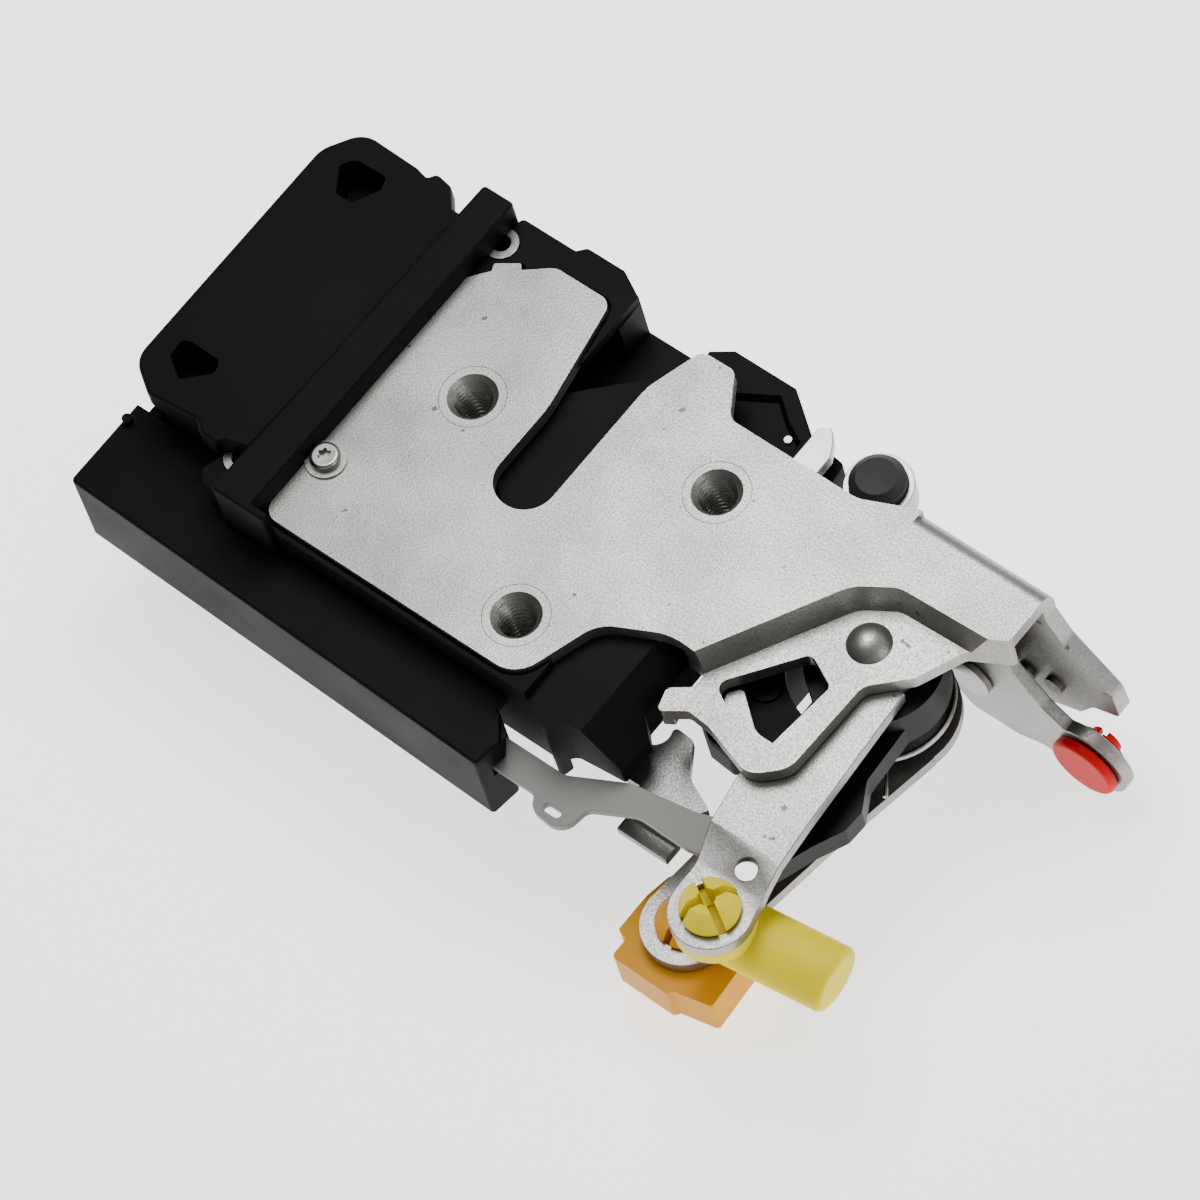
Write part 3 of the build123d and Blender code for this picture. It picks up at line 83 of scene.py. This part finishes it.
# Camera of the photograph: nearly orthographic, seen along these directions of the frame
VIEW_RIGHT = Vector((0.7649, 0.6226, -0.1652))
VIEW_UP = Vector((-0.4892, 0.7283, 0.4799))
VIEW_BACK = Vector((0.4191, -0.2863, 0.8617))
VIEW_TARGET = Vector((10.0, 10.2, 0.0)) * MM
VIEW_DISTANCE = 1.5
VIEW_END = 20.0
SENSOR = 36.0

# Studio: a glowing floor, a world that is brighter towards one side, and three lamps
FLOOR_REACH = 3.0
FLOOR_GAP = 0.5 * MM
FLOOR_GLOW = 1.7
FLOOR_ROUGHNESS = 0.9
FLOOR_CLOUDS = 8.0
FLOOR_DARK = (0.93, 0.93, 0.93)
FLOOR_LIGHT = (0.95, 0.95, 0.95)
WORLD_DARK = 0.06
WORLD_BRIGHT = 0.72
WORLD_BRIGHT_SIDE = (VIEW_RIGHT + VIEW_UP * 0.5).normalized()
# Name, place from the object's centre along the view's right, up and back (m), size (m), power (W)
LAMPS = [
    ("softbox", (-0.03, 0.26, 0.21), (0.16, 0.16), 0.8),
    ("key", (-0.5, 0.75, 0.9), (0.7, 0.7), 4.5),
    ("fill", (0.9, -0.2, 0.8), (0.6, 0.9), 2.2),
]

# Edges of pressings and mouldings, by node: the width of the rounding in mm
EDGE_WIDTHS = {
    "face_plate": 0.35, "outside_lever": 0.35, "inside_lever": 0.35, "knob_lever": 0.35, "back_plate": 0.25,
    "bumper_bracket": 0.25, "stop_tab": 0.2, "detent_lever": 0.25,
    "latch_housing": 0.4, "actuator_case": 0.5, "actuator_cover": 0.4, "slide_box_lid": 0.3,
    "lever_housing": 0.5, "lock_lever": 0.5, "link_strip": 0.2, "claw_jacket": 0.3,
    "yellow_clip": 0.35, "orange_clip": 0.5, "red_clip": 0.3,
}
EDGE_SEGMENTS = 2
EDGE_ANGLE = math.radians(28.0)
FLAT_ANGLE = math.radians(0.6)
WELD_DISTANCE = 0.002 * MM

# Tapped bushes, M8: turned outside, thread and chamfered mouth inside
THREAD_PITCH = 1.25 * MM
THREAD_RADIUS = 4.0 * MM
GROOVE_SLOPE = 1.3
GROOVE_LAND = 0.15
MOUTH_RADIUS = 4.5 * MM
HEAD_RADIUS = 6.0 * MM
BODY_RADIUS = 7.0 * MM
HEAD_DEPTH = 3.0 * MM
BODY_DEPTH = 15.0 * MM
HEAD_EDGE = 0.12 * MM
BUSH_SHARP_ANGLE = math.radians(35)
RING_STEPS = 72
ROWS_PER_TURN = 8

# Torsion springs: node, centre, coil radius, where the coil starts, and the end of its leg (mm)
SPRINGS = [
    ("claw_spring", (-33.1, 28.5), 9.4, (-42.5, 28.5), (-42.5, 37.5)),
    ("pawl_spring", (0.0, 0.0), 7.2, (-7.09, -1.25), (-8.0, 15.0)),
    ("lever_spring", (50.3, 31.0), 11.8, (57.885, 21.961), (62.285, 15.961)),
]
WIRE_RADIUS = 0.45
WIRE_ROUNDNESS = 3
COIL_TURNS = 2
COIL_STEPS = 48

# Sockets of the Mix node in its colour form, whose names it shares with its other forms
MIX_COLOURS = slice(6, 8)
MIX_RESULT = 2

# Spans of a noise's value over which a tone or a gloss changes
CLOUD_SPAN = (0.35, 0.65)
MARK_SPAN = (0.3, 0.7)


def link(obj):
    scene.collection.objects.link(obj)
    return obj


def make_camera():
    data = bpy.data.cameras.new("camera")
    data.sensor_width = SENSOR
    data.sensor_fit = "HORIZONTAL"
    data.lens = SENSOR * VIEW_DISTANCE / (IMAGE / PX_PER_MM * MM)
    data.clip_end = VIEW_END
    camera = link(bpy.data.objects.new("camera", data))
    turn = Matrix((VIEW_RIGHT, VIEW_UP, VIEW_BACK)).transposed().to_4x4()
    camera.matrix_world = Matrix.Translation(VIEW_TARGET + VIEW_BACK * VIEW_DISTANCE) @ turn
    scene.camera = camera


# Materials

class Nodes:
    """A material's node tree with short calls for the nodes that the finishes share."""

    def __init__(self, name):
        self.material = bpy.data.materials.new(name)
        self.material.use_nodes = True
        self.tree = self.material.node_tree
        self.shader = self.tree.nodes["Principled BSDF"]
        self.place = self.add("ShaderNodeTexCoord").outputs["Object"]

    def add(self, kind, **values):
        node = self.tree.nodes.new(kind)
        for key, value in values.items():
            setattr(node, key, value)
        return node

    def join(self, source, target):
        self.tree.links.new(source, target)

    def stretched(self, scale, turn):
        mapping = self.add("ShaderNodeMapping")
        mapping.inputs["Scale"].default_value = scale
        mapping.inputs["Rotation"].default_value = turn
        self.join(self.place, mapping.inputs["Vector"])
        return mapping.outputs["Vector"]

    def noise(self, scale, detail=3.0, roughness=0.55, place=None):
        node = self.add("ShaderNodeTexNoise")
        node.inputs["Scale"].default_value = scale
        node.inputs["Detail"].default_value = detail
        node.inputs["Roughness"].default_value = roughness
        self.join(place or self.place, node.inputs["Vector"])
        return node.outputs["Fac"]

    def step(self, value, edge, before, after):
        """A grey level that turns from one value to the other between the two ends of an edge."""
        node = self.add("ShaderNodeValToRGB")
        for element, at, level in zip(node.color_ramp.elements, edge, (before, after)):
            element.position = at
            element.color = (level, level, level, 1.0)
        self.join(value, node.inputs["Fac"])
        return node.outputs["Color"]

    def remap(self, value, source, target):
        """The value, stretched from one span to another and held at its ends."""
        node = self.add("ShaderNodeMapRange")
        for socket, number in zip(("From Min", "From Max", "To Min", "To Max"), (*source, *target)):
            node.inputs[socket].default_value = number
        self.join(value, node.inputs["Value"])
        return node.outputs["Result"]

    def mix(self, factor, a, b):
        """A colour between a and b, each of them a colour or another node's output."""
        node = self.add("ShaderNodeMix", data_type="RGBA")
        self.join(factor, node.inputs["Factor"])
        for socket, colour in zip(node.inputs[MIX_COLOURS], (a, b)):
            if isinstance(colour, bpy.types.NodeSocket):
                self.join(colour, socket)
            else:
                socket.default_value = (*colour, 1.0)
        return node.outputs[MIX_RESULT]

    def tones(self, value, dark, light, span=CLOUD_SPAN):
        return self.mix(self.remap(value, span, (0.0, 1.0)), dark, light)

    def bump(self, height, depth_mm, strength, under=None):
        node = self.add("ShaderNodeBump")
        node.inputs["Distance"].default_value = depth_mm * MM
        node.inputs["Strength"].default_value = strength
        self.join(height, node.inputs["Height"])
        if under is not None:
            self.join(under, node.inputs["Normal"])
        return node.outputs["Normal"]

    def set(self, **values):
        for key, value in values.items():
            socket = self.shader.inputs[key.replace("_", " ")]
            if isinstance(value, bpy.types.NodeSocket):
                self.join(value, socket)
            else:
                socket.default_value = value


def darker(colour, share):
    return tuple(share * v for v in colour)


def sheet_metal(name, light, dark):
    """Satin zinc-plated sheet: sandy grain, soft clouds, a few specks and fine scratches."""
    n = Nodes(name)
    clouds = n.noise(scale=60.0, detail=4.0)
    grain = n.noise(scale=2600.0, detail=2.0, roughness=0.6)
    dots = n.noise(scale=420.0, detail=1.0, roughness=0.4)
    along = n.stretched(scale=(900.0, 42.0, 300.0), turn=(0.0, 0.0, 0.5))
    lines = n.noise(scale=1.0, detail=1.0, roughness=0.5, place=along)
    specks = n.step(dots, edge=(0.215, 0.245), before=1.0, after=0.0)
    scuffs = n.step(lines, edge=(0.735, 0.76), before=0.0, after=1.0)
    tone = n.tones(clouds, dark, light)
    tone = n.mix(n.remap(grain, (0.38, 0.70), (0.0, 0.55)), tone, darker(dark, 0.55))
    tone = n.mix(specks, tone, darker(dark, 0.35))
    surface = n.bump(grain, depth_mm=0.04, strength=0.9)
    surface = n.bump(scuffs, depth_mm=0.02, strength=0.35, under=surface)
    n.set(Base_Color=tone, Metallic=0.92, Roughness=n.remap(grain, MARK_SPAN, (0.30, 0.46)), Normal=surface)
    return n.material


def bright_metal(name, colour, rough):
    """Smooth plated or turned metal with faint handling marks."""
    n = Nodes(name)
    marks = n.noise(scale=220.0, detail=5.0)
    fine = n.noise(scale=1800.0, detail=2.0)
    n.set(Base_Color=n.tones(marks, darker(colour, 0.8), colour, MARK_SPAN), Metallic=1.0,
          Roughness=n.remap(marks, CLOUD_SPAN, rough), Normal=n.bump(fine, depth_mm=0.01, strength=0.4))
    return n.material


def moulded(name, colour, rough, grain, depth_mm, gloss):
    """Moulded plastic or rubber: fine eroded grain and slight changes of tone and sheen."""
    n = Nodes(name)
    clouds = n.noise(scale=38.0, detail=4.0)
    fine = n.noise(scale=grain, detail=3.0, roughness=0.6)
    n.set(Base_Color=n.tones(clouds, darker(colour, 0.75), colour), Specular_IOR_Level=gloss,
          Roughness=n.remap(clouds, CLOUD_SPAN, rough), Normal=n.bump(fine, depth_mm, strength=0.5))
    return n.material


def clip_plastic(name, colour, deep):
    """Coloured acetal: strong colour with soft clouds, and the mould's low sheen."""
    n = Nodes(name)
    clouds = n.noise(scale=90.0, detail=3.0)
    fine = n.noise(scale=900.0, detail=2.0)
    n.set(Base_Color=n.tones(clouds, deep, colour), Roughness=n.remap(clouds, MARK_SPAN, (0.38, 0.50)),
          Specular_IOR_Level=0.12, Normal=n.bump(fine, depth_mm=0.01, strength=0.5))
    return n.material


ZINC_LIGHT = (0.37, 0.363, 0.345)
ZINC_DARK = (0.26, 0.255, 0.243)
FINISHES = {
    "zinc_plate": sheet_metal("zinc_sheet", ZINC_LIGHT, ZINC_DARK),
    "steel_bush": sheet_metal("bush_steel", ZINC_LIGHT, ZINC_DARK),
    "bright_steel": bright_metal("bright_steel", (0.36, 0.352, 0.335), rough=(0.22, 0.36)),
    "dark_steel": bright_metal("spring_steel", (0.24, 0.235, 0.225), rough=(0.32, 0.46)),
    "brass": bright_metal("brass", (0.72, 0.52, 0.22), rough=(0.22, 0.34)),
    "black_plastic": moulded("black_nylon", (0.0038, 0.0038, 0.0042), rough=(0.5, 0.62), grain=1500.0,
                             depth_mm=0.02, gloss=0.07),
    "lock_plastic": moulded("black_acetal", (0.0040, 0.0040, 0.0045), rough=(0.38, 0.5), grain=900.0,
                            depth_mm=0.01, gloss=0.12),
    "grey_strip": moulded("grey_strip", (0.21, 0.207, 0.192), rough=(0.42, 0.54), grain=1400.0,
                          depth_mm=0.01, gloss=0.4),
    "rubber": moulded("black_rubber", (0.013, 0.013, 0.013), rough=(0.55, 0.7), grain=1300.0,
                      depth_mm=0.03, gloss=0.35),
    "white_plastic": moulded("natural_acetal", (0.74, 0.72, 0.66), rough=(0.35, 0.45), grain=1200.0,
                             depth_mm=0.01, gloss=0.45),
    "yellow_plastic": clip_plastic("yellow_acetal", (0.84, 0.70, 0.0), deep=(0.76, 0.60, 0.0)),
    "orange_plastic": clip_plastic("orange_acetal", (0.72, 0.33, 0.0), deep=(0.62, 0.26, 0.0)),
    "red_plastic": clip_plastic("red_acetal", (0.62, 0.0, 0.003), deep=(0.52, 0.0, 0.002)),
}
# Steel painted far darker than the bushes: painted shade inside the threaded bores
THREAD_PAINTED_SHADE = bright_metal("thread_steel_painted_shade", (0.055, 0.053, 0.049), rough=(0.22, 0.34))
# The detent lever: grained steel whose tones are set darker than the zinc's, partly as painted shade
NODE_FINISHES = {"detent_lever": sheet_metal("grained_steel_painted_shade", (0.30, 0.295, 0.28), (0.20, 0.197, 0.19))}


def finish_for(node):
    return NODE_FINISHES.get(node, FINISHES[slot_of[node]])


def paint(obj, material):
    obj.data.materials.clear()
    obj.data.materials.append(material)


# Pieces

def stand_in_for(obj, node):
    """Let a piece take a CAD node's place, body and finish."""
    paint(obj, finish_for(node))
    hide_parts(node)
    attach(obj, nodes[node]["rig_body"])
    return obj


def shade_smooth(mesh, sharp_angle):
    for face in mesh.polygons:
        face.use_smooth = True
    mesh.set_sharp_from_angle(angle=sharp_angle)


def softened(node, width):
    """The node's own shape with its sharp edges rounded, as pressing and moulding leave them."""
    mesh = nodes[node].data.copy()
    mesh.name = node + "_soft"
    work = bmesh.new()
    work.from_mesh(mesh)
    bmesh.ops.remove_doubles(work, verts=work.verts, dist=WELD_DISTANCE)
    bmesh.ops.dissolve_limit(work, angle_limit=FLAT_ANGLE, verts=work.verts, edges=work.edges)
    work.to_mesh(mesh)
    work.free()
    normals = mesh.attributes.get("custom_normal")
    if normals is not None:
        mesh.attributes.remove(normals)
    obj = link(bpy.data.objects.new(node + "_soft", mesh))
    bevel = obj.modifiers.new("edge", "BEVEL")
    bevel.width = width
    bevel.segments = EDGE_SEGMENTS
    bevel.limit_method = "ANGLE"
    bevel.angle_limit = EDGE_ANGLE
    bevel.use_clamp_overlap = True
    bevel.harden_normals = True
    bevel.miter_outer = "MITER_ARC"
    obj.modifiers.new("shade", "WEIGHTED_NORMAL").keep_sharp = True
    shade_smooth(mesh, EDGE_ANGLE)
    return stand_in_for(obj, node)


def thread_radius(depth, turn, minor):
    """Radius of a right-hand thread at a depth and a share of a turn, opened at its mouth."""
    phase = (depth / THREAD_PITCH + turn) % 1.0
    groove = min(1.0, max(0.0, GROOVE_SLOPE * (1.0 - abs(2.0 * phase - 1.0)) - GROOVE_LAND))
    return max(minor + (THREAD_RADIUS - minor) * groove, MOUTH_RADIUS - depth)


def bush_profile(length, minor):
    """Rows of (radius, depth) around the bush: up its thread to the mouth, then down its outside."""
    rows = int(length / THREAD_PITCH * ROWS_PER_TURN)
    depths = [length * (1 - i / rows) for i in range(rows + 1)]
    thread = [[(thread_radius(d, k / RING_STEPS, minor), d) for k in range(RING_STEPS)] for d in depths]
    outside = ((HEAD_RADIUS - HEAD_EDGE, 0.0), (HEAD_RADIUS, HEAD_EDGE), (HEAD_RADIUS, HEAD_DEPTH),
               (BODY_RADIUS, HEAD_DEPTH), (BODY_RADIUS, BODY_DEPTH), (HEAD_RADIUS, BODY_DEPTH),
               (HEAD_RADIUS, length))
    return thread + [[corner] * RING_STEPS for corner in outside], rows


def threaded_bush(work, mount):
    x, y, top = mount["pos_m"]
    profile, thread_rows = bush_profile(mount["dims"]["length_mm"] * MM, mount["dims"]["r_mm"] * MM)
    rings = []
    for row in profile:
        ring = []
        for k, (radius, depth) in enumerate(row):
            angle = 2 * math.pi * k / RING_STEPS
            place = (x + radius * math.cos(angle), y + radius * math.sin(angle), top - depth)
            ring.append(work.verts.new(place))
        rings.append(ring)
    for i, ring in enumerate(rings):
        after = rings[(i + 1) % len(rings)]
        for k in range(RING_STEPS):
            j = (k + 1) % RING_STEPS
            face = work.faces.new((ring[k], after[k], after[j], ring[j]))
            # Faces of the thread and its chamfered mouth take the second slot, the bore's painted shade
            face.material_index = 1 if i < thread_rows else 0


def make_bushes():
    work = bmesh.new()
    for mount in frame["record"]["mounts"]:
        if mount["kind"] == "threaded_hole":
            threaded_bush(work, mount)
    bmesh.ops.recalc_face_normals(work, faces=work.faces)
    mesh = bpy.data.meshes.new("bushes_threaded")
    work.to_mesh(mesh)
    work.free()
    shade_smooth(mesh, BUSH_SHARP_ANGLE)
    bushes = stand_in_for(link(bpy.data.objects.new("bushes_threaded", mesh)), "tapped_bushes")
    bushes.data.materials.append(THREAD_PAINTED_SHADE)


def spring_route(centre, radius, start, leg_end, height):
    """Points of a close coil, one wire higher at its end than at its start, and of its leg (m)."""
    first = math.atan2(start[1] - centre[1], start[0] - centre[0])
    steps = COIL_TURNS * COIL_STEPS
    rise = 2 * WIRE_RADIUS * MM
    points = []
    for i in range(steps + 1):
        angle = first + 2 * math.pi * i / COIL_STEPS
        x = (centre[0] + radius * math.cos(angle)) * MM
        y = (centre[1] + radius * math.sin(angle)) * MM
        points.append((x, y, height - rise / 2 + rise * i / steps))
    points.append((leg_end[0] * MM, leg_end[1] * MM, points[-1][2]))
    return points


def make_spring(node, centre, radius, start, leg_end):
    """Wound wire in the place of the node's ring: a close coil that runs out in its leg."""
    low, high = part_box(node)
    points = spring_route(centre, radius, start, leg_end, (low[2] + high[2]) / 2)
    curve = bpy.data.curves.new(node + "_wire", "CURVE")
    curve.dimensions = "3D"
    curve.bevel_depth = WIRE_RADIUS * MM
    curve.bevel_resolution = WIRE_ROUNDNESS
    curve.use_fill_caps = True
    spline = curve.splines.new("POLY")
    spline.points.add(len(points) - 1)
    for point, place in zip(spline.points, points):
        point.co = (*place, 1.0)
    stand_in_for(link(bpy.data.objects.new(node + "_wire", curve)), node)


# Stage

def make_floor(level):
    corners = [(-FLOOR_REACH, -FLOOR_REACH, level), (FLOOR_REACH, -FLOOR_REACH, level),
               (FLOOR_REACH, FLOOR_REACH, level), (-FLOOR_REACH, FLOOR_REACH, level)]
    mesh = bpy.data.meshes.new("floor")
    mesh.from_pydata(corners, [], [(0, 1, 2, 3)])
    floor = link(bpy.data.objects.new("floor", mesh))
    n = Nodes("floor")
    n.set(Base_Color=n.mix(n.noise(FLOOR_CLOUDS), FLOOR_DARK, FLOOR_LIGHT), Roughness=FLOOR_ROUGHNESS,
          Emission_Color=(*WHITE, 1.0), Emission_Strength=FLOOR_GLOW)
    paint(floor, n.material)


def make_world():
    """A studio that is brighter on one side, so that slopes of bright metal differ from flats."""
    world = bpy.data.worlds.new("studio")
    world.use_nodes = True
    tree = world.node_tree
    place = tree.nodes.new("ShaderNodeTexCoord")
    across = tree.nodes.new("ShaderNodeVectorMath")
    across.operation = "DOT_PRODUCT"
    across.inputs[1].default_value = WORLD_BRIGHT_SIDE
    ramp = tree.nodes.new("ShaderNodeMapRange")
    limits = (("From Min", -1.0), ("From Max", 1.0), ("To Min", WORLD_DARK), ("To Max", WORLD_BRIGHT))
    for socket, number in limits:
        ramp.inputs[socket].default_value = number
    back = tree.nodes["Background"]
    back.inputs["Color"].default_value = (*WHITE, 1.0)
    tree.links.new(place.outputs["Generated"], across.inputs[0])
    tree.links.new(across.outputs["Value"], ramp.inputs["Value"])
    tree.links.new(ramp.outputs["Result"], back.inputs["Strength"])
    scene.world = world


def make_lamp(name, place, size, power, centre):
    data = bpy.data.lights.new(name, "AREA")
    data.shape = "RECTANGLE"
    data.size, data.size_y = size
    data.energy = power
    lamp = link(bpy.data.objects.new(name, data))
    at = centre + VIEW_RIGHT * place[0] + VIEW_UP * place[1] + VIEW_BACK * place[2]
    lamp.location = at
    lamp.visible_camera = False
    lamp.rotation_euler = (centre - at).to_track_quat("-Z", "Y").to_euler()


def make_stage():
    low, high = cad_box
    make_floor(low[2] - FLOOR_GAP)
    make_world()
    for lamp in LAMPS:
        make_lamp(*lamp, centre=(Vector(low) + Vector(high)) / 2)


make_camera()
make_stage()
for name, node in nodes.items():
    paint(node, finish_for(name))
for name, width in EDGE_WIDTHS.items():
    softened(name, width * MM)
make_bushes()
for spring in SPRINGS:
    make_spring(*spring)
